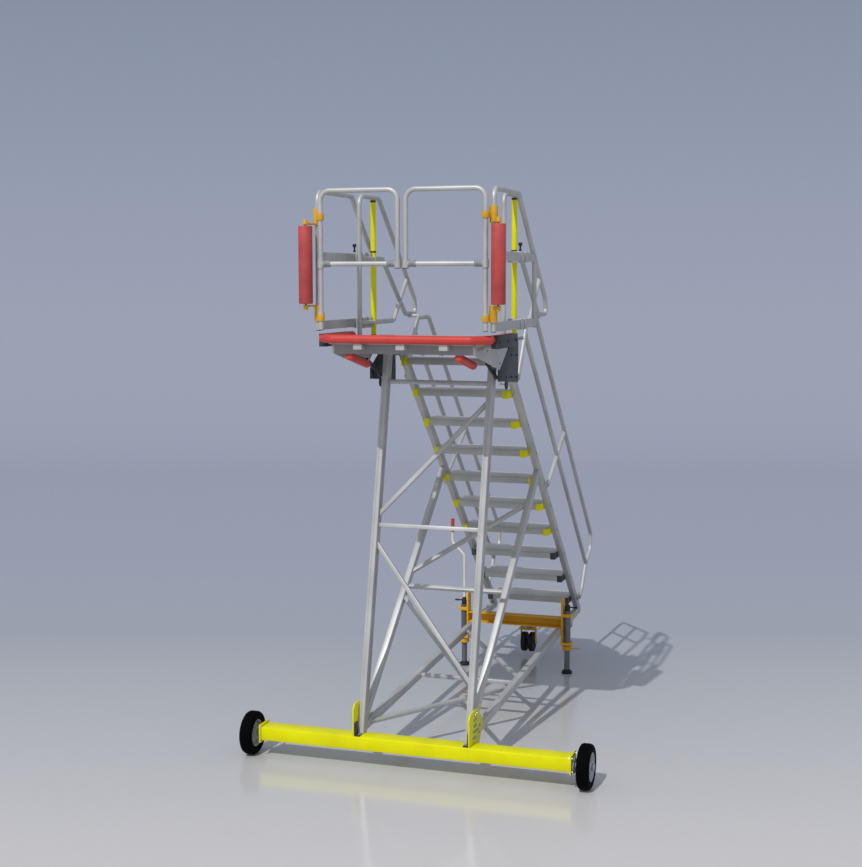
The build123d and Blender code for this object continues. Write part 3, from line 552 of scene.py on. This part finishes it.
# Nodes that keep their form with rounded edges. Columns: node, material, slot, edge radius
for name, material, slot_name, width in (
    ("axle_beam", yellow, "yellow_paint", 0.006),
    ("axle_end_plates", yellow, "yellow_paint", 0.002),
    ("gusset_plates", yellow, "yellow_paint", 0.002),
    ("stringers", alu_y, "aluminium", 0.004),
    ("leaning_post_left", alu_y, "aluminium", 0.004),
    ("leaning_post_right", alu_y, "aluminium", 0.004),
    ("bottom_chord_left", alu_y, "aluminium", 0.004),
    ("bottom_chord_right", alu_y, "aluminium", 0.004),
    ("bracing", alu_x, "aluminium", 0.0035),
    ("foot_brackets", dark, "dark_paint", 0.0015),
    ("tread_brackets_upper", yellow, "yellow_paint", 0.001),
    ("tread_brackets_lower", dark, "dark_paint", 0.001),
    ("deck_frame", alu_x, "aluminium", 0.0015),
    ("bumper_ends", dark, "dark_paint", 0.003),
    ("deck_beams", alu_x, "aluminium", 0.004),
    ("side_plates", dark, "dark_paint", 0.0015),
    ("guard_guides", alu_y, "aluminium", 0.0012),
    ("jack_brackets", orange, "orange_paint", 0.002),
    ("rear_cross_member", alu_x, "aluminium", 0.004),
    ("caster_plate", steel, "steel", 0.0015),
):
    softened(name, material, width)
softened("caster_fork", orange, 0.002, "caster_fork")
for _, word in SIDES:
    softened("roller_brackets_" + word, orange, 0.0012, "guard_" + word)

# Deck fascia: a darker sheet on the front face of the deck frame, painted shade that deepens the bumper's
# shadow there
FASCIA_HALF, FASCIA_LOW, FASCIA_HIGH = 0.488, 2.9155, 2.9745
SKIN_BACK, SKIN_FRONT = -0.0002, -0.0006
skin = [(SKIN_FRONT, FASCIA_LOW), (SKIN_BACK, FASCIA_LOW),
        (SKIN_BACK, FASCIA_HIGH), (SKIN_FRONT, FASCIA_HIGH)]
bm = bmesh.new()
extrusion(bm, [(y + DECK_FRONT + AXLE_Y, z) for y, z in skin], -FASCIA_HALF, FASCIA_HALF)
piece("deck_fascia_painted_shade", bm, fascia_shade_alu, "frame", 0)

# Front posts: extrusions with a groove down each face


def grooved(x_half, y_half, depth, gap, corner):
    """Section of a rectangular extrusion with a groove in the middle of each face."""
    points = []
    for turn in range(4):
        a, b = (x_half, y_half) if turn % 2 == 0 else (y_half, x_half)
        face = [(a, corner - b), (a, -gap), (a - depth, -gap), (a - depth, gap), (a, gap), (a, b - corner),
                (a - 0.3 * corner, b - 0.3 * corner)]
        for x, y in face:
            for _ in range(turn):
                x, y = -y, x
            points.append((x, y))
    return points


section = grooved(0.0225, 0.04 * math.hypot(1, POST_LEAN), 0.0028, 0.006, 0.004)
for side, word in SIDES:
    bm = bmesh.new()
    ends = []
    for z in (POST_FOOT_Z, POST_TOP_Z):
        y_mid = POST_FOOT_Y + POST_LEAN * (z - POST_FOOT_Z)
        ends.append([bm.verts.new(at(POST_X * side + x, y_mid + y, z)) for x, y in section])
    low, high = ends
    for i in range(len(section)):
        j = (i + 1) % len(section)
        bm.faces.new((low[i], low[j], high[j], high[i]))
    bm.faces.new(low[::-1])
    bm.faces.new(high)
    made = piece("front_post_profile_" + word, bm, alu_z, "frame", 30)
    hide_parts("front_post_" + word)

# Rear beam: a channel with its web at the back
channel = [(2.760, 0.4008), (2.840, 0.4008), (2.840, 0.4908), (2.760, 0.4908), (2.760, 0.4826),
           (2.766, 0.4815), (2.8305, 0.4790), (2.8320, 0.4770), (2.8320, 0.4146), (2.8305, 0.4126),
           (2.766, 0.4101), (2.760, 0.4090)]
bm = bmesh.new()
extrusion(bm, [(y + AXLE_Y, z) for y, z in channel], -REAR_BEAM_HALF, REAR_BEAM_HALF)
made = piece("rear_beam_channel", bm, orange, "frame", 30)
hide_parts("rear_beam")

# Jacks: stepped housing, crank head, locking ring, leg with pin grooves and ribbed rubber foot
JACK_HOUSING = (
    (0.0245, 0.2005), (0.0292, 0.2005), (0.03, 0.2015), (0.03, 0.216), (0.0285, 0.2175), (0.0285, 0.535),
    (0.03, 0.5365), (0.03, 0.551), (0.0292, 0.552), (0.0245, 0.552), (0.0245, 0.2005),
)
JACK_HEAD = (
    (0, 0.5525), (0.023, 0.5525), (0.0248, 0.5545), (0.0248, 0.596), (0.022, 0.6), (0.014, 0.601),
    (0.014, 0.609), (0.0125, 0.611), (0, 0.611),
)
JACK_CRANK = (
    (0, 0), (0.006, 0), (0.006, 0.03), (0.0085, 0.032), (0.0085, 0.061), (0.007, 0.063), (0, 0.063),
)
JACK_RING = (
    (0.0302, 0.209), (0.0395, 0.209), (0.0418, 0.212), (0.0418, 0.239), (0.0395, 0.2415), (0.0302, 0.2415),
    (0.0302, 0.209),
)
RING_LEVER = (
    (0, 0), (0.0055, 0), (0.0045, 0.01), (0.0045, 0.066), (0.0058, 0.069), (0.0058, 0.075), (0.0035, 0.0785),
    (0, 0.0785),
)
JACK_FOOT = (
    (0, 0), (0.041, 0), (0.045, 0.003), (0.045, 0.008), (0.0435, 0.0095), (0.0435, 0.0115), (0.045, 0.013),
    (0.045, 0.018), (0.042, 0.022), (0.031, 0.026), (0.0285, 0.029), (0.0285, 0.0345), (0.0245, 0.035),
    (0, 0.035),
)
jack_tube = [(0, 0.036)]
for low in (0.036, 0.09, 0.144):
    jack_tube += [(0.0238, low), (0.0238, low + 0.048), (0.0226, low + 0.0495), (0.0226, low + 0.0525)]
jack_tube += [(0.0238, 0.1985), (0.0238, 0.389), (0, 0.389)]
for side, word in SIDES:
    foot = at(JACK_X * side, JACK_Y, 0)
    out = (side, 0, 0)
    bm = bmesh.new()
    lathe(bm, foot, UP, JACK_HOUSING, 36)
    piece("jack_housing_" + word, bm, jack_steel, "frame", 30)
    bm = bmesh.new()
    lathe(bm, foot, UP, JACK_HEAD, 32)
    lathe(bm, foot + Vector((0.022 * side, 0, 0.585)), out, JACK_CRANK, 20)
    piece("jack_crank_" + word, bm, black_plastic, "frame", 35)
    bm = bmesh.new()
    lathe(bm, foot, UP, JACK_RING, 40)
    lathe(bm, foot + Vector((0.041 * side, 0, 0.225)), out, RING_LEVER, 16)
    piece("jack_ring_" + word, bm, orange, "frame", 35)
    bm = bmesh.new()
    lathe(bm, foot, UP, jack_tube, 32)
    made = piece("jack_tube_" + word, bm, jack_steel, "jack_leg_" + word, 30)
    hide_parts("jack_leg_" + word)
    bm = bmesh.new()
    lathe(bm, foot, UP, JACK_FOOT, 40)
    made = piece("jack_foot_ribs_" + word, bm, black_rubber, "jack_leg_" + word, 35)
    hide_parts("jack_foot_" + word)
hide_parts("jack_housings")
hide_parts("jack_heads")
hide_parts("jack_rings")

# Caster wheels: two treads with moulded shoulders, hub discs and a shared core
CASTER_TREAD = (
    (0.055, 0.0115), (0.078, 0.0115), (0.085, 0.014), (0.088, 0.02), (0.088, 0.0325), (0.0868, 0.0335),
    (0.0868, 0.0355), (0.088, 0.0365), (0.088, 0.048), (0.085, 0.054), (0.078, 0.0565), (0.057, 0.0565),
    (0.055, 0.054),
)
CASTER_HUB = (
    (0.0082, 0.0), (0.029, 0.0), (0.029, 0.012), (0.055, 0.012), (0.0555, 0.053), (0.052, 0.0545),
    (0.046, 0.046), (0.024, 0.044), (0.021, 0.0555), (0.017, 0.057), (0.0082, 0.057), (0.0082, 0.0),
)
hub = at(0, CASTER_Y, CASTER_Z)
bm = bmesh.new()
for side, _ in SIDES:
    lathe(bm, hub, (side, 0, 0), CASTER_TREAD, 48)
made = piece("caster_treads", bm, black_rubber, "caster_wheels", 30)
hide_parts("caster_wheels")
bm = bmesh.new()
for side, _ in SIDES:
    lathe(bm, hub, (side, 0, 0), CASTER_HUB, 40)
piece("caster_hubs", bm, dark, "caster_wheels", 30)
bm = bmesh.new()
for side, _ in SIDES:
    bolt(bm, hub + Vector((0.070 * side, 0, 0)), (side, 0, 0), 0.008)
piece("caster_axle_nuts", bm, steel, "caster_fork")

# Gas springs: cylinder with crimped neck, rod and eye at each end
SPRING_X, CHEEK_IN, PLATE_IN = 0.435, 0.49, 0.47
SPRING_TOP, SPRING_FOOT = (0.29, 2.848), (0.69, 2.662)
TOP_EYE = ((0.007, 0), (0.0125, 0), (0.0125, 0.018), (0.007, 0.018), (0.007, 0))
FOOT_EYE = ((0, 0), (0.0115, 0), (0.0125, 0.002), (0.0125, 0.014), (0.0115, 0.016), (0, 0.016))
for side, word in SIDES:
    top, foot = at(SPRING_X * side, *SPRING_TOP), at(SPRING_X * side, *SPRING_FOOT)
    out = (side, 0, 0)
    length = (foot - top).length
    run = (foot - top).normalized()
    cylinder = ((0, 0.012), (0.008, 0.012), (0.009, 0.02), (0.0125, 0.024), (0.0138, 0.028),
                (0.0138, 0.64 * length), (0.0125, 0.652 * length), (0.0138, 0.664 * length),
                (0.0138, 0.695 * length), (0.0065, 0.7 * length), (0, 0.7 * length))
    rod = ((0, 0.695 * length), (0.0058, 0.695 * length), (0.0058, length - 0.012), (0, length - 0.012))
    bm = bmesh.new()
    lathe(bm, top, run, cylinder, 24)
    lathe(bm, top - Vector((0.009 * side, 0, 0)), out, TOP_EYE, 20)
    piece("gas_spring_cylinder_" + word, bm, black_gloss, "frame", 30)
    bm = bmesh.new()
    lathe(bm, top, run, rod, 20)
    lathe(bm, foot - Vector((0.008 * side, 0, 0)), out, FOOT_EYE, 20)
    for place, host_x in ((top, CHEEK_IN), (foot, PLATE_IN)):
        base = Vector(((SPRING_X - 0.012) * side, place.y, place.z))
        reach = host_x - SPRING_X + 0.012
        lathe(bm, base, out, ((0, 0), (0.0055, 0), (0.0068, 0.002), (0.0068, reach), (0, reach)), 16)
    piece("gas_spring_rod_" + word, bm, chrome, "frame", 30)
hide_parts("gas_spring_bodies")
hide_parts("gas_spring_rods")

# Index plungers: body, collar and pull knob
PLUNGER_Y, PLUNGER_Z = 0.525, 3.603
PLUNGER = (
    (0, 0), (0.009, 0), (0.009, 0.014), (0.0065, 0.016), (0.0065, 0.036), (0.009, 0.038), (0.0135, 0.041),
    (0.014, 0.045), (0.014, 0.056), (0.012, 0.0605), (0.008, 0.062), (0, 0.062),
)
bm = bmesh.new()
for side, _ in SIDES:
    lathe(bm, at(GUARD_X * side, PLUNGER_Y, PLUNGER_Z), UP, PLUNGER, 24)
made = piece("plunger_knobs", bm, black_plastic, "frame", 35)
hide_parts("plungers")

# Sleeves on the yellow grab tubes and on the gates' middle rails, with the radii of bore, ends and middle
GRAB_TUBE_Y = 0.685
GRAB_SLEEVE, GATE_SLEEVE = (0.019, 0.0202, 0.0208), (0.0172, 0.021, 0.022)
bm = bmesh.new()
for side, _ in SIDES:
    for low, high in ((3.604, 3.616), (3.966, 3.980), (3.0005, 3.010)):
        sleeve(bm, at(INNER_GUARD_X * side, GRAB_TUBE_Y, 0), UP, low, high, GRAB_SLEEVE, 0.001)
piece("grab_tube_sleeves", bm, black_plastic, "frame", 35)
for side, word in SIDES:
    bm = bmesh.new()
    for x_low, x_high in ((0.052, 0.100), (0.502, 0.551)):
        sleeve(bm, at(0, GATE_Y, GATE_MID_Z), (side, 0, 0), x_low, x_high, GATE_SLEEVE, 0.002)
        bolt(bm, at(0.5 * (x_low + x_high) * side, -0.2366, GATE_MID_Z), (0, -1, 0), 0.004, False)
    for x in (GATE_INNER_X, GATE_X):
        sleeve(bm, at(x * side, GATE_Y, GATE_MID_Z), UP, -0.028, 0.028, GATE_SLEEVE, 0.001)
    piece("gate_sleeves_" + word, bm, clamp_grey, "gate_" + word, 35)

# Caps in the open ends of the tubes
TUBE_CAP = ((0, 0), (0.0172, 0), (0.0172, 0.002), (0.015, 0.0045), (0, 0.0045))
SLEEVE_CAP = ((0, 0), (0.021, 0), (0.021, 0.002), (0.018, 0.0045), (0, 0.0045))
for side, word in SIDES:
    bm = bmesh.new()
    lathe(bm, at(GATE_X * side, GATE_Y, 3.0752), DOWN, TUBE_CAP, 24)
    lathe(bm, at(GATE_INNER_X * side, GATE_Y, 3.4872), DOWN, SLEEVE_CAP, 24)
    piece("gate_caps_" + word, bm, black_plastic, "gate_" + word, 35)
for side, word in SIDES:
    bm = bmesh.new()
    for y in (-0.165, 0.93):
        lathe(bm, at(GUARD_X * side, y, 3.0702), DOWN, TUBE_CAP, 24)
    piece("guard_caps_" + word, bm, black_plastic, "guard_" + word, 35)

# Long lever: a grip with nine ribs
LEVER_X, LEVER_Y = -0.575, 2.8
lever_grip = [(0, 1.1905), (0.0135, 1.1905), (0.0155, 1.193)]
for rib in range(9):
    z = 1.197 + 0.0115 * rib
    lever_grip += [(0.016, z), (0.016, z + 0.006), (0.0142, z + 0.0075), (0.0142, z + 0.0095)]
lever_grip += [(0.016, 1.302), (0.015, 1.308), (0.009, 1.3098), (0, 1.3098)]
bm = bmesh.new()
lathe(bm, at(LEVER_X, LEVER_Y, 0), UP, lever_grip, 28)
made = piece("lever_grip_ribs", bm, red_rubber, "frame", 35)
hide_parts("lever_grip")

# Camera: its place, its turn in degrees and its focal length in pixels of the photo
PHOTO_HEIGHT, FOCAL_PIXELS, SENSOR = 867, 1460.65, 36
PITCH, ROLL, YAW = -6.075, 0.06, 17.964
camera = bpy.data.cameras.new("camera")
camera_object = bpy.data.objects.new("camera", camera)
bpy.context.scene.collection.objects.link(camera_object)
camera_object.location = at(3.174, -9.377, 3.420)
camera_object.rotation_euler = (math.radians(90 + PITCH), math.radians(ROLL), math.radians(YAW))
camera.lens = SENSOR * FOCAL_PIXELS / PHOTO_HEIGHT
camera.sensor_width = SENSOR
camera.sensor_fit = "AUTO"
camera.clip_end = 200
bpy.context.scene.camera = camera_object

# Floor: pale near the camera, running into a blue-grey wall through a wide curve
FLOOR_FRONT, FLOOR_HALF, COVE_START, COVE_RADIUS, COVE_STEPS, WALL_TOP = -30, 60, 14, 12, 24, 40
cove = [(FLOOR_FRONT, 0.0), (COVE_START, 0.0)]
for i in range(1, COVE_STEPS + 1):
    a = math.pi / 2 * i / COVE_STEPS
    cove.append((COVE_START + COVE_RADIUS * math.sin(a), COVE_RADIUS - COVE_RADIUS * math.cos(a)))
cove.append((COVE_START + COVE_RADIUS, WALL_TOP))
floor_mesh = bpy.data.meshes.new("floor")
floor_mesh.from_pydata(
    [(x, y, z) for y, z in cove for x in (-FLOOR_HALF, FLOOR_HALF)],
    [],
    [(2 * i, 2 * i + 1, 2 * i + 3, 2 * i + 2) for i in range(len(cove) - 1)],
)
floor_mesh.polygons.foreach_set("use_smooth", [True] * len(floor_mesh.polygons))
floor = bpy.data.objects.new("floor", floor_mesh)
floor.rotation_euler = (0, 0, math.radians(18))
bpy.context.scene.collection.objects.link(floor)
floor_material, floor_tree, floor_shader = principled("floor_concrete", (0.50, 0.51, 0.55), 0.2)
floor_coords = add(floor_tree, "ShaderNodeTexCoord")
floor_axes = add(floor_tree, "ShaderNodeSeparateXYZ")
floor_tree.links.new(floor_coords.outputs["Object"], floor_axes.inputs["Vector"])
floor_colour = ramp_along(floor_tree, floor_axes.outputs["Y"], -6, 26, (
    (0.0, (0.66, 0.63, 0.60)),
    (0.09, (0.611, 0.584, 0.567)),
    (0.19, (0.461, 0.462, 0.472)),
    (0.26, (0.351, 0.364, 0.398)),
    (0.39, (0.327, 0.340, 0.409)),
    (0.69, (0.315, 0.328, 0.396)),
    (0.87, (0.297, 0.309, 0.374)),
    (0.99, (0.262, 0.295, 0.360)),
))
floor_roughness = ramp_along(floor_tree, floor_axes.outputs["Y"], 0, 14, (
    (0.0, (0.13, 0.13, 0.13)),
    (0.3, (0.2, 0.2, 0.2)),
    (0.8, (1, 1, 1)),
))
floor_gloss = ramp_along(floor_tree, floor_axes.outputs["Y"], 0, 14, (
    (0.0, (0.5, 0.5, 0.5)),
    (0.3, (0.3, 0.3, 0.3)),
    (0.7, (0, 0, 0)),
))
floor_tree.links.new(floor_colour, floor_shader.inputs["Base Color"])
floor_tree.links.new(floor_roughness, floor_shader.inputs["Roughness"])
floor_tree.links.new(floor_gloss, floor_shader.inputs["Specular IOR Level"])
floor_mesh.materials.append(floor_material)

# World and light: a soft blue-grey sky and one sun from the front left
world = bpy.data.worlds.new("studio")
world.use_nodes = True
bpy.context.scene.world = world
background = world.node_tree.nodes["Background"]
background.inputs["Color"].default_value = (0.62, 0.66, 0.74, 1)
background.inputs["Strength"].default_value = 0.8
SUN_DIRECTION = (0.143, 0.887, -1)
key = bpy.data.lights.new("key", "SUN")
key.energy = 2.2
key.angle = math.radians(0.6)
key_object = bpy.data.objects.new("key", key)
bpy.context.scene.collection.objects.link(key_object)
key_object.rotation_euler = Vector(SUN_DIRECTION).to_track_quat("-Z", "Y").to_euler()
bpy.context.scene.view_settings.view_transform = "Standard"
